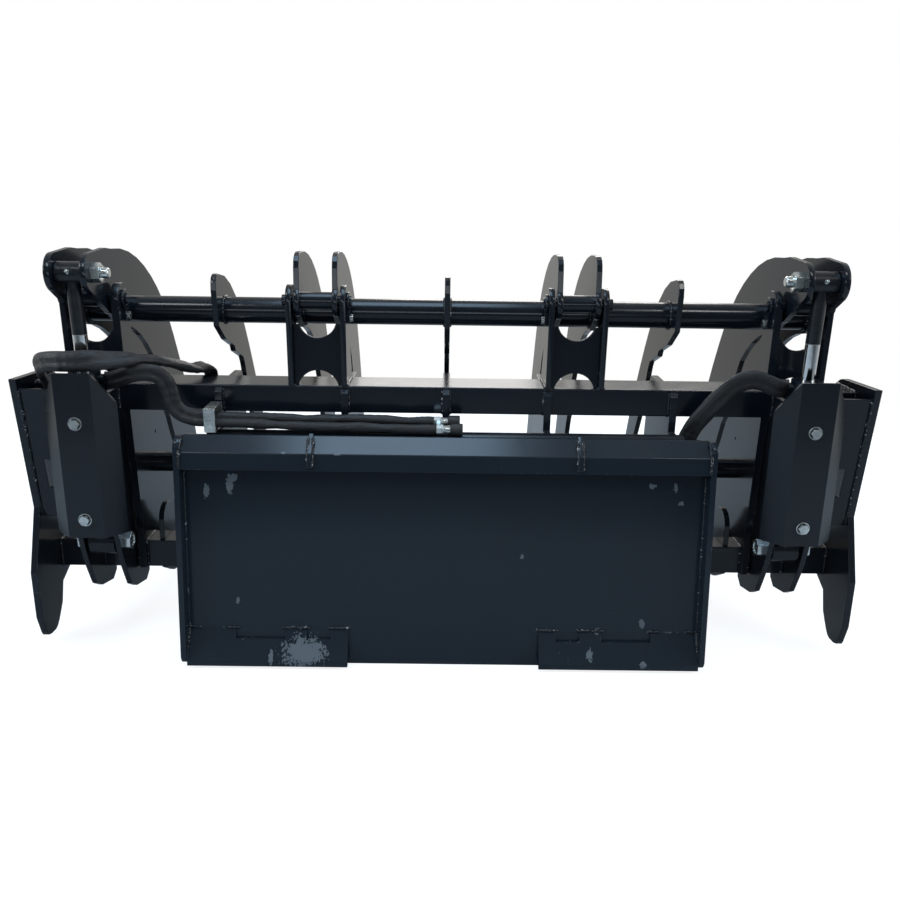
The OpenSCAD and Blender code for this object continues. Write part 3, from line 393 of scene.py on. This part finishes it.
def gloss_paint(name, colour, dust, chipping, roughness, knocks=(), painted_glints=0.0):
    """Gloss paint over steel: chips show the grey primer and dust dulls the gloss. Each knock
    is a ragged chipped patch (x, z, half width, half height) in millimetres, seen from behind.
    Painted glints are light grey specks in place of chips, a painted highlight on bead ripples."""
    paint = bpy.data.materials.new(name)
    paint.use_nodes = True
    tree = paint.node_tree
    shader = tree.nodes["Principled BSDF"]
    worn = tree.nodes.new("ShaderNodeGroup")
    worn.node_tree = wear
    worn.inputs["Edge width"].default_value = 0.004
    worn.inputs["Chipping"].default_value = chipping
    dusty = step(tree, "MULTIPLY", worn.outputs["Dust"], dust)
    coat = blend_colour(tree, dusty, colour, dust_grey)
    scuffed = step(tree, "MULTIPLY", worn.outputs["Scuff"], 0.12)
    coat = blend_colour(tree, scuffed, coat, scuff_grey)
    chips_and_glints = worn.outputs["Chip"]
    # On weld beads the chips give way to light grey specks, painted glints: a painted highlight
    # on the ripples.
    if painted_glints:
        spot = tree.nodes.new("ShaderNodeTexCoord").outputs["Object"]
        chips_and_glints = ramp(tree, noise(tree, spot, 120.0, 3.0, 0.6), 0.66 - 0.1 * painted_glints, 0.67)
    if knocks:
        spot = tree.nodes.new("ShaderNodeTexCoord").outputs["Object"]
        coarse = noise(tree, spot, 48.0, 3.0, 0.5)
        fine = noise(tree, spot, 210.0, 5.0, 0.6, ((0.0, 0.3, 0.0), (1.0, 1.0, 0.55)))
        ragged = step(tree, "MULTIPLY_ADD", fine, 2.4, -1.85)
        ragged = step(tree, "MULTIPLY_ADD", coarse, 1.3, ragged)
        for x, z, half_wide, half_tall in knocks:
            shape = tree.nodes.new("ShaderNodeMapping")
            shape.vector_type = "TEXTURE"
            shape.inputs["Location"].default_value = (x / 1000, 0.0, z / 1000)
            shape.inputs["Scale"].default_value = (half_wide / 1000, 1.0, half_tall / 1000)
            tree.links.new(spot, shape.inputs["Vector"])
            reach = tree.nodes.new("ShaderNodeVectorMath")
            reach.operation = "LENGTH"
            tree.links.new(shape.outputs["Vector"], reach.inputs[0])
            spread = step(tree, "ADD", reach.outputs["Value"], ragged)
            chips_and_glints = step(tree, "MAXIMUM", chips_and_glints, ramp(tree, spread, 1.04, 0.96))
    coat = blend_colour(tree, chips_and_glints, coat, painted_glint_grey if painted_glints else primer_grey)
    tree.links.new(coat, shader.inputs["Base Color"])
    rough = step(tree, "MULTIPLY_ADD", dusty, 0.45, roughness)
    rough = step(tree, "MULTIPLY_ADD", chips_and_glints, 0.3, rough)
    tree.links.new(rough, shader.inputs["Roughness"])
    shader.inputs["IOR"].default_value = 1.46
    bump = tree.nodes.new("ShaderNodeBump")
    bump.inputs["Strength"].default_value = 0.06
    bump.inputs["Distance"].default_value = 0.0006
    relief = step(tree, "MULTIPLY_ADD", chips_and_glints, -0.8, worn.outputs["Peel"])
    tree.links.new(relief, bump.inputs["Height"])
    tree.links.new(bump.outputs["Normal"], shader.inputs["Normal"])
    return paint


black_gloss = gloss_paint("gloss_black_paint", (0.0050, 0.0085, 0.0145), 0.3, 1.0, 0.16)


def dressed(node, material, edge_radius=0.0):
    """Gives a node of the model its finish, and its plate edges the small round that a
    shot-blasted and painted edge has: as wide as the radius, in two faces."""
    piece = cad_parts[node]
    for slot in piece.material_slots:
        slot.material = material
    if not piece.material_slots:
        piece.data.materials.append(material)
    if edge_radius:
        weld = piece.modifiers.new("joined", "WELD")
        weld.merge_threshold = 0.00002
        flat = piece.modifiers.new("flat_faces", "DECIMATE")
        flat.decimate_type = "DISSOLVE"
        flat.angle_limit = np.radians(0.6)
        eased = piece.modifiers.new("eased_edges", "BEVEL")
        eased.limit_method = "ANGLE"
        eased.angle_limit = np.radians(35)
        eased.width = edge_radius
        eased.segments = 2
        eased.use_clamp_overlap = True
        eased.harden_normals = True


# Cross tubes and pipes
# Two box tubes with rounded corners and two round pipes run the whole width and carry
# everything else. They are rolled steel, welded up and painted with the rest.
for node in ("upper_tube", "lower_tube"):
    dressed(node, black_gloss, 0.005)
for node in ("mid_pipe", "back_pipe"):
    dressed(node, black_gloss)

# Side plates and end panels
# Profile-cut plates close the ends of both tubes, and a windowed panel fills the rear between
# each of them and the cylinder's bracket. All are welded along their edges.
for node in ("side_plate_left", "side_plate_right", "end_panel_left", "end_panel_right"):
    dressed(node, black_gloss, 0.0012)

# Coupler
# The leaning plate, its folded hood, ribs, side flanges and slotted ledges hang on a loader.
# This is where the rake is handled most, so its paint is the most knocked about.
# Its paint is the frame's black made lighter and bluer, a painted sheen for the light the leaning
# plate reflects; the knocks listed are real chips in it.
coupler_gloss_painted_sheen = gloss_paint(
    "coupler_black_paint_painted_sheen", (0.0100, 0.0172, 0.0270), 0.2, 1.0, 0.16,
    knocks=((-455, 416, 11, 9), (-463, 398, 8, 16), (-513, 386, 6, 14), (-452, 143, 5, 8),
            (-305, 36, 42, 26), (-377, 25, 4, 13), (446, 409, 8, 5), (495, 407, 5, 9),
            (509, 371, 5, 5), (438, 100, 6, 9), (339, 82, 6, 8), (439, 19, 7, 7),
            (322, 37, 6, 12), (-340, 480, 6, 2), (-228, 478, 7, 2), (170, 250, 4, 5)))
for node in ("coupler_plate", "coupler_hood", "coupler_gussets", "coupler_flanges",
             "coupler_lock_ledges"):
    dressed(node, coupler_gloss_painted_sheen, 0.0014)

# Lower tines
# Flame-cut plates with toothed throats that rake roots and brush together. They are threaded
# on the tubes and welded to them.
for node in ("tine_centre", "tine_inner_left", "tine_inner_right", "tine_outer_left",
             "tine_outer_right", "tine_end_left", "tine_end_right", "short_tines"):
    dressed(node, black_gloss, 0.0014)

# Hinges
# Steel ears, welded on the upper tube, hold the clamp's four pins. Each pin has a tab with a
# small bolt that keeps it from turning or walking out.
for node in ("hinge_ears_inner_left", "hinge_ears_inner_right", "hinge_ears_end",
             "hinge_braces", "pin_locks"):
    dressed(node, black_gloss, 0.0012)
dressed("hinge_pins", black_gloss)

# Clamp
# The upper jaw: paired plates on each hinge and three single tines, all flame-cut and welded
# to one pipe.
for node in ("clamp_arms_inner_left", "clamp_arms_inner_right", "clamp_arms_outer_left",
             "clamp_arms_outer_right", "clamp_tine_centre", "clamp_tine_left",
             "clamp_tine_right"):
    dressed(node, black_gloss, 0.0014)
for node in ("clamp_tube", "hinge_bushings"):
    dressed(node, black_gloss)

# Cylinder brackets and guards
# Each cylinder stands between two welded plates, behind a guard of folded sheet. Two zinc
# plated flange bolts hold the guard to straps across the plates.
for node in ("cylinder_bracket_left", "cylinder_bracket_right", "guard_straps"):
    dressed(node, black_gloss, 0.0012)
guard_gloss = gloss_paint("guard_black_paint", (0.0070, 0.0110, 0.0155), 0.25, 0.5, 0.22)
for node in ("cylinder_guard_left", "cylinder_guard_right"):
    dressed(node, guard_gloss, 0.001)

zinc_plate = bpy.data.materials.new("zinc_plate")
zinc_plate.use_nodes = True
tree = zinc_plate.node_tree
shader = tree.nodes["Principled BSDF"]
spot = tree.nodes.new("ShaderNodeTexCoord").outputs["Object"]
cloud = ramp(tree, noise(tree, spot, 60.0, 5.0), 0.35, 0.7)
tree.links.new(blend_colour(tree, cloud, (0.86, 0.89, 0.88), (0.46, 0.50, 0.50)),
               shader.inputs["Base Color"])
tree.links.new(step(tree, "MULTIPLY_ADD", cloud, 0.14, 0.17), shader.inputs["Roughness"])
shader.inputs["Metallic"].default_value = 0.95
for node in ("guard_bolts", "base_pins", "rod_pins", "pin_lock_bolts", "hose_clamp",
             "hose_fittings"):
    dressed(node, zinc_plate, 0.0006)

# Cylinders
# Honed steel barrels in gloss black, with rods that slide through screwed glands. The rods are
# chromed as far as they enter the barrels, and painted from there up to their eyes.
for node in ("barrel_left", "barrel_right", "gland_left", "gland_right"):
    dressed(node, black_gloss)
chrome = bpy.data.materials.new("hard_chrome")
chrome.use_nodes = True
tree = chrome.node_tree
shader = tree.nodes["Principled BSDF"]
spot = tree.nodes.new("ShaderNodeTexCoord").outputs["Object"]
film = ramp(tree, noise(tree, spot, 30.0, 4.0), 0.4, 0.8)
height = tree.nodes.new("ShaderNodeSeparateXYZ")
tree.links.new(spot, height.inputs["Vector"])
paint_line = 0.713
painted = ramp(tree, height.outputs["Z"], paint_line, paint_line + 0.002)
bare = blend_colour(tree, film, (0.86, 0.87, 0.88), (0.66, 0.67, 0.68))
tree.links.new(blend_colour(tree, painted, bare, (0.0075, 0.0105, 0.0150)),
               shader.inputs["Base Color"])
smooth = step(tree, "MULTIPLY_ADD", film, 0.15, 0.08)
tree.links.new(step(tree, "MULTIPLY_ADD", painted, 0.16, smooth), shader.inputs["Roughness"])
tree.links.new(step(tree, "SUBTRACT", 1.0, painted), shader.inputs["Metallic"])
for node in ("rod_left", "rod_right", "piston_left", "piston_right"):
    dressed(node, chrome)

# Weld beads
# Every joint of plates has its bead, a rope of overlapping ripples under the paint. The joints'
# places come from the boxes of the plates that meet there.
ripple = 0.0055


def box(node):
    """The lowest and highest corner of a node of the model, at rest."""
    corners = np.array([v.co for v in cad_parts[node].data.vertices])
    return corners.min(0), corners.max(0)


def weld_beads(name, seams, body):
    """One mesh of ropes, each along its seam with the radius
    r = r0 (0.72 + 0.28 |sin(pi d / ripple)|) (1 + 0.1 noise), narrowed to a quarter of r0 and
    closed at both ends. A seam is a list of points and a radius r0, and d the distance on it."""
    rng = np.random.default_rng(11)
    verts, faces = [], []
    sides = 7
    around_rope = np.linspace(0, 2 * np.pi, sides, endpoint=False)
    for points, radius in seams:
        p = np.array(points, float)
        lengths = np.concatenate([[0.0], np.cumsum(np.linalg.norm(np.diff(p, axis=0), axis=1))])
        d = np.linspace(0.0, lengths[-1], max(int(lengths[-1] / (ripple / 3)), 4))
        route = np.stack([np.interp(d, lengths, p[:, k]) for k in range(3)], -1)
        route += rng.normal(0, radius * 0.05, route.shape)
        along = np.gradient(route, axis=0)
        along /= np.linalg.norm(along, axis=1)[:, None]
        helper = np.where(np.abs(along[:, 2:]) > 0.8, [[1.0, 0, 0]], [[0, 0, 1.0]])
        side = np.cross(along, helper)
        side /= np.linalg.norm(side, axis=1)[:, None]
        top = np.cross(side, along)
        r = radius * (0.72 + 0.28 * np.abs(np.sin(np.pi * d / ripple)))
        r *= 1 + 0.1 * rng.normal(size=len(d))
        r[0] = r[-1] = radius * 0.25
        ring = (np.cos(around_rope)[None, :, None] * side[:, None]
                + np.sin(around_rope)[None, :, None] * top[:, None])
        start = sum(len(v) for v in verts)
        verts.append((route[:, None] + r[:, None, None] * ring).reshape(-1, 3))
        row = start + np.arange(len(d) - 1)[:, None] * sides
        k = np.arange(sides)[None]
        k2 = (k + 1) % sides
        quads = np.stack([row + k, row + k2, row + sides + k2, row + sides + k], -1)
        faces += quads.reshape(-1, 4).tolist()
        last_ring = start + (len(d) - 1) * sides
        faces += [list(range(start + sides - 1, start - 1, -1)),
                  list(range(last_ring, last_ring + sides))]
    mesh = bpy.data.meshes.new(name)
    mesh.from_pydata(np.vstack(verts).tolist(), [], faces)
    mesh.polygons.foreach_set("use_smooth", [True] * len(faces))
    beads = bpy.data.objects.new(name, mesh)
    scene.collection.objects.link(beads)
    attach(beads, body)
    mesh.materials.append(weld_gloss_painted_glints)
    return beads


# The weld paint is a little lighter than the frame's and carries painted glints: painted
# highlights on the beads' ripples.
weld_gloss_painted_glints = gloss_paint("weld_black_paint_painted_glints", (0.010, 0.014, 0.020), 0.1, 0.0, 0.1, painted_glints=0.5)
upper_low, upper_high = box("upper_tube")
lower_low, lower_high = box("lower_tube")
plate_foot_y = box("coupler_plate")[0][1]
hood_low, hood_high = box("coupler_hood")
ledge_low, ledge_high = box("coupler_lock_ledges")
plate_lean = np.tan(np.radians(6.5))


def plate_rear(z):
    """Place of the coupler plate's rear face at a height."""
    return plate_foot_y + z * plate_lean


seams = []


def upright(x, y, low_z, high_z, radius):
    """Adds a straight seam up a face."""
    seams.append(([(x, y, low_z), (x, y, high_z)], radius))


def forward(x, z, low_y, high_y, radius):
    """Adds a straight seam from rear to front along a tube's top or underside."""
    seams.append(([(x, low_y, z), (x, high_y, z)], radius))


# Where the tines, ears and end plates meet the two box tubes. A bead stops an inset short of a
# corner, or a wider one where the tube's corner is round.
inset, round_inset = 0.004, 0.008
tine_bead, bracket_bead, ear_bead, end_bead = 0.0032, 0.0034, 0.0036, 0.0042
plate_t = 0.012
for node in ("tine_centre", "tine_inner_left", "tine_inner_right", "tine_outer_left",
             "tine_outer_right"):
    low, high = box(node)
    for x in (low[0], high[0]):
        upright(x, upper_low[1], upper_low[2] + inset, upper_high[2] - round_inset, tine_bead)
        forward(x, upper_low[2], upper_low[1] + inset, upper_high[1] - inset, tine_bead)
        upright(x, lower_low[1], lower_low[2] + inset, lower_high[2] - inset, tine_bead)


def ear_seams(node):
    """Adds the seams on the upper tube of a pair of plates, one on each side of each plate."""
    low, high = box(node)
    for x in (low[0], low[0] + plate_t, high[0] - plate_t, high[0]):
        forward(x, upper_high[2], upper_low[1] + 0.002, upper_high[1] - 0.01, ear_bead)


ear_seams("hinge_ears_inner_left")
ear_seams("hinge_ears_inner_right")
for node in ("tine_end_left", "tine_end_right"):
    low, high = box(node)
    for x in (low[0], high[0]):
        forward(x, upper_high[2], upper_low[1] + 0.002, upper_high[1] - 0.01, ear_bead)
        seams.append(([(x, lower_low[1], lower_low[2] + inset),
                       (x, lower_low[1], lower_high[2]),
                       (x, lower_high[1] - inset, lower_high[2])], ear_bead))
ear_seams("hinge_ears_end")
for side in ("left", "right"):
    low, high = box("cylinder_bracket_" + side)
    for x in (low[0], low[0] + plate_t, high[0] - plate_t, high[0]):
        upright(x, upper_low[1], upper_low[2] + 0.003, upper_high[2] - 0.01, bracket_bead)
        upright(x, lower_low[1], lower_low[2] + 0.003, lower_high[2] - 0.003, bracket_bead)
    low, high = box("side_plate_" + side)
    inner = high[0] if side == "left" else low[0]
    for tube_low, tube_high in ((upper_low, upper_high), (lower_low, lower_high)):
        seams.append(([(inner, tube_low[1], tube_low[2]), (inner, tube_low[1], tube_high[2]),
                       (inner, tube_high[1], tube_high[2])], end_bead))
    low, high = box("end_panel_" + side)
    outer_x = low[0] if side == "left" else high[0]
    seams.append(([(outer_x, high[1] - 0.008, low[2] + inset),
                   (outer_x, low[1], high[2] - inset)], 0.0045))

# The coupler's seams: the flanges to the hood and the plate, the ribs to the hood, and short
# stitches along the slotted ledges.
for x in (hood_low[0], hood_high[0]):
    seams.append(([(x, hood_high[1] - 0.012, hood_high[2]),
                   (x, hood_low[1] + 0.002, hood_low[2] + 0.036),
                   (x, hood_low[1], hood_low[2] + 0.002)], end_bead))
    seams.append(([(x, plate_rear(0.01), 0.01), (x, plate_rear(0.43), 0.43)], 0.003))
rib_low, rib_high = box("coupler_gussets")
rib_t = 0.010
for x in (rib_low[0], rib_low[0] + rib_t, rib_high[0] - rib_t, rib_high[0]):
    seams.append(([(x, rib_high[1] - 0.012, rib_high[2] - 0.007),
                   (x, rib_low[1] + 0.007, rib_high[2] - 0.041),
                   (x, rib_low[1] + 0.004, rib_low[2] + 0.002)], 0.0040))
stitch, ledge_bead = 0.028, 0.0038
ledge_end_x = 0.5595
ledge_top = ledge_high[2]
stitch_y = plate_rear(ledge_top) - 0.001
for side in (-1, 1):
    for x in (0.558, 0.462, 0.340, 0.308, 0.241, 0.218):
        middle = side * min(x, ledge_end_x - stitch / 2)
        seams.append(([(middle - stitch / 2, stitch_y, ledge_top),
                       (middle + stitch / 2, stitch_y, ledge_top)], ledge_bead))
    x = side * ledge_end_x
    seams.append(([(x, plate_rear(0.08), 0.08), (x, ledge_low[1] + inset, 0.016)], 0.0040))
weld_beads("frame_weld_beads", seams, "rake_frame")

# The clamp's plates are welded all round the pipe on both faces.
tube_low, tube_high = box("clamp_tube")
tube_y, tube_z = (tube_low[1] + tube_high[1]) / 2, (tube_low[2] + tube_high[2]) / 2
tube_r = (tube_high[2] - tube_low[2]) / 2 + 0.0008
circle = np.linspace(0, 2 * np.pi, 33)
rings = []
for node in ("clamp_arms_inner_left", "clamp_arms_inner_right", "clamp_arms_outer_left",
             "clamp_arms_outer_right", "clamp_tine_centre", "clamp_tine_left",
             "clamp_tine_right"):
    low, high = box(node)
    # A single plate's faces come up twice, and the set holds each of them once.
    for x in {low[0], low[0] + plate_t, high[0] - plate_t, high[0]}:
        rings.append(([(x, tube_y + tube_r * np.cos(a), tube_z + tube_r * np.sin(a))
                       for a in circle], ear_bead))
weld_beads("clamp_weld_beads", rings, "clamp_jaw")

# Grease fittings, stud ends and painted shade rings
# A small zinc plated fitting is screwed into each rod eye, a threaded stud end stands out of
# each rod pin's nut, and a dark ring round each guard bolt's head is painted shade.


def turned(name, profile, place, axis, body, material, sides=20):
    """A closed form turned about an axis through a place, from its (radius, height) points."""
    axis = Vector(axis).normalized()
    wide = axis.orthogonal().normalized()
    tall = axis.cross(wide)
    angle = np.linspace(0, 2 * np.pi, sides, endpoint=False)
    verts = [tuple(Vector(place) + axis * h + (wide * np.cos(a) + tall * np.sin(a)) * r)
             for r, h in profile for a in angle]
    faces = [(i * sides + k, i * sides + (k + 1) % sides, (i + 1) * sides + (k + 1) % sides,
              (i + 1) * sides + k) for i in range(len(profile) - 1) for k in range(sides)]
    faces += [tuple(range(sides - 1, -1, -1)),
              tuple(range((len(profile) - 1) * sides, len(profile) * sides))]
    mesh = bpy.data.meshes.new(name)
    mesh.from_pydata(verts, [], faces)
    mesh.polygons.foreach_set("use_smooth", [True] * (len(faces) - 2) + [False, False])
    mesh.materials.append(material)
    piece = bpy.data.objects.new(name, mesh)
    scene.collection.objects.link(piece)
    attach(piece, body)
    return piece


fitting_profile = [(0.0045, -0.002), (0.0045, 0.004), (0.0026, 0.0045), (0.0026, 0.007),
                   (0.0034, 0.008), (0.0034, 0.010), (0.0018, 0.0115)]
for side in ("left", "right"):
    low, high = box("rod_" + side)
    eye_r = (high[1] - low[1]) / 2
    middle = (low + high) / 2
    turned("grease_fitting_rod_" + side, fitting_profile,
           (middle[0], high[1] - eye_r - eye_r * 0.94, high[2] - eye_r + eye_r * 0.34),
           (0, -0.94, 0.34), side + "_rod", zinc_plate)

thread_pitch = 0.0025
stud_profile = [(0.0105, -0.001)]
for k in range(6):
    stud_profile += [(0.0115, thread_pitch * (k + 0.25)), (0.0103, thread_pitch * (k + 0.75))]
stud_profile += [(0.0100, thread_pitch * 6), (0.0085, thread_pitch * 6 + 0.0012)]
pin_low, pin_high = box("rod_pins")
nut_inner_x = 0.705
for side in (-1, 1):
    turned("rod_pin_stud_" + ("left" if side < 0 else "right"), stud_profile,
           (side * nut_inner_x, (pin_low[1] + pin_high[1]) / 2, (pin_low[2] + pin_high[2]) / 2),
           (-side, 0, 0), "clamp_jaw", zinc_plate)

bolts_end_x = box("guard_bolts")[1][0]
bolt_head_r, washer_face_y = 0.014, 0.0055
# Each ring is a thin dark band of the guard's paint between bolt head and washer: painted shade
# for the shadow line there.
shade_ring_profile = [(0.0124, -0.0004), (0.0124, 0.0005), (0.0104, 0.0011)]
for side, name in ((-1, "left"), (1, "right")):
    for z, level in ((0.329, "low"), (0.540, "high")):
        turned("guard_bolt_corner_" + name + "_" + level, shade_ring_profile,
               (side * (bolts_end_x - bolt_head_r), washer_face_y, z), (0, -1, 0),
               "rake_frame", guard_gloss)

# Rubber
# The dust caps are black rubber with a moulded rim, pushed on the fittings' open ends to keep
# dirt out while the rake is off its loader.
rubber = bpy.data.materials.new("black_rubber")
rubber.use_nodes = True
tree = rubber.node_tree
shader = tree.nodes["Principled BSDF"]
spot = tree.nodes.new("ShaderNodeTexCoord").outputs["Object"]
bloom = ramp(tree, noise(tree, spot, 40.0, 6.0), 0.4, 0.75)
tree.links.new(blend_colour(tree, bloom, (0.010, 0.010, 0.011), (0.026, 0.026, 0.026)),
               shader.inputs["Base Color"])
tree.links.new(step(tree, "MULTIPLY_ADD", bloom, 0.2, 0.42), shader.inputs["Roughness"])
dressed("dust_caps", rubber, 0.0015)

# Floor and light
# A pale floor keeps the soft shadow. A bluish lamp hangs overhead, large ones stand ahead and
# at the sides, and a low one ahead glances off the tubes' top faces. Two small ones high behind
# pick out edges, beads and bolt heads, and a wide dim one there runs along the round pipes.
# The room is pale ahead of and beside the rake and dim behind the camera.
floor_r = 2.6
floor_mesh = bpy.data.meshes.new("floor")
floor_mesh.from_pydata(
    [(floor_r * np.cos(a), 0.2 + floor_r * np.sin(a), 0.0)
     for a in np.linspace(0, 2 * np.pi, 64, endpoint=False)], [], [tuple(range(64))])
floor = bpy.data.objects.new("floor", floor_mesh)
floor.location.z = -0.0005
scene.collection.objects.link(floor)
pale = bpy.data.materials.new("pale_floor")
pale.use_nodes = True
tree = pale.node_tree
shader = tree.nodes["Principled BSDF"]
shader.inputs["Base Color"].default_value = (0.33, 0.38, 0.43, 1)
shader.inputs["Roughness"].default_value = 0.9
shader.inputs["Specular IOR Level"].default_value = 0.0
shader.inputs["Emission Color"].default_value = (1, 1, 1, 1)
path = tree.nodes.new("ShaderNodeLightPath")
floor_glow = 0.83
tree.links.new(step(tree, "MULTIPLY", path.outputs["Is Camera Ray"], floor_glow),
               shader.inputs["Emission Strength"])
floor_mesh.materials.append(pale)

for name, spot, aim, wide, deep, power, tint in (
    ("lamp_overhead", (-0.25, -0.3, 3.1), (-0.25, 0.0, 0.3), 1.1, 1.5, 27.0, (0.52, 0.75, 1.0)),
    ("lamp_left", (-3.0, -0.9, 1.7), (0.0, 0.1, 0.4), 1.6, 1.8, 40.0, (0.93, 0.97, 1.0)),
    ("lamp_right", (3.0, -0.6, 1.7), (0.0, 0.1, 0.4), 1.6, 1.8, 40.0, (1.0, 0.99, 0.96)),
    ("lamp_high_left", (-1.5, -1.7, 3.1), (0.0, 0.1, 0.4), 0.5, 0.5, 9.0, (0.95, 0.98, 1.0)),
    ("lamp_high_right", (1.4, -1.8, 3.2), (0.0, 0.1, 0.4), 0.5, 0.5, 9.0, (1.0, 0.99, 0.97)),
    ("lamp_wall", (-0.3, -3.5, 1.12), (0.0, 0.4, 0.75), 2.6, 0.5, 11.0, (0.86, 0.94, 1.0)),
    ("lamp_doorway", (-0.05, 4.2, 1.5), (0.0, 0.2, 0.5), 1.3, 1.2, 9.0, (1.0, 0.99, 0.97)),
    ("lamp_front", (0.6, 3.2, 2.4), (0.0, 0.2, 0.4), 2.0, 1.2, 45.0, (1.0, 0.98, 0.95)),
):
    lamp = bpy.data.objects.new(name, bpy.data.lights.new(name, "AREA"))
    lamp.data.shape = "RECTANGLE"
    lamp.data.size = wide
    lamp.data.size_y = deep
    lamp.data.energy = power
    lamp.data.color = tint
    lamp.location = spot
    lamp.rotation_euler = (Vector(aim) - Vector(spot)).to_track_quat("-Z", "Y").to_euler()
    scene.collection.objects.link(lamp)

world = bpy.data.worlds.new("soft_studio")
scene.world = world
world.use_nodes = True
tree = world.node_tree
tree.nodes.clear()
direction = tree.nodes.new("ShaderNodeTexCoord")
parts = tree.nodes.new("ShaderNodeSeparateXYZ")
tree.links.new(direction.outputs["Generated"], parts.inputs["Vector"])
ahead = ramp(tree, parts.outputs["Y"], -0.35, 0.55)
beside = ramp(tree, step(tree, "ABSOLUTE", parts.outputs["X"]), 0.45, 0.95)
above = ramp(tree, parts.outputs["Z"], 0.1, 0.9)
glow = step(tree, "MULTIPLY_ADD", ahead, 0.34, 0.09)
glow = step(tree, "MULTIPLY_ADD", beside, 0.22, glow)
glow = step(tree, "MULTIPLY_ADD", above, 0.14, glow)
room = tree.nodes.new("ShaderNodeBackground")
cool, warm = (0.78, 0.91, 1.0), (1.0, 0.99, 0.96)
tree.links.new(blend_colour(tree, ahead, cool, warm), room.inputs["Color"])
tree.links.new(glow, room.inputs["Strength"])
shown = tree.nodes.new("ShaderNodeBackground")
shown.inputs["Color"].default_value = (1.0, 1.0, 1.0, 1.0)
shown.inputs["Strength"].default_value = 1.0
light_path = tree.nodes.new("ShaderNodeLightPath")
mix = tree.nodes.new("ShaderNodeMixShader")
out = tree.nodes.new("ShaderNodeOutputWorld")
tree.links.new(light_path.outputs["Is Camera Ray"], mix.inputs[0])
tree.links.new(room.outputs[0], mix.inputs[1])
tree.links.new(shown.outputs[0], mix.inputs[2])
tree.links.new(mix.outputs[0], out.inputs["Surface"])
scene.view_settings.view_transform = "Standard"
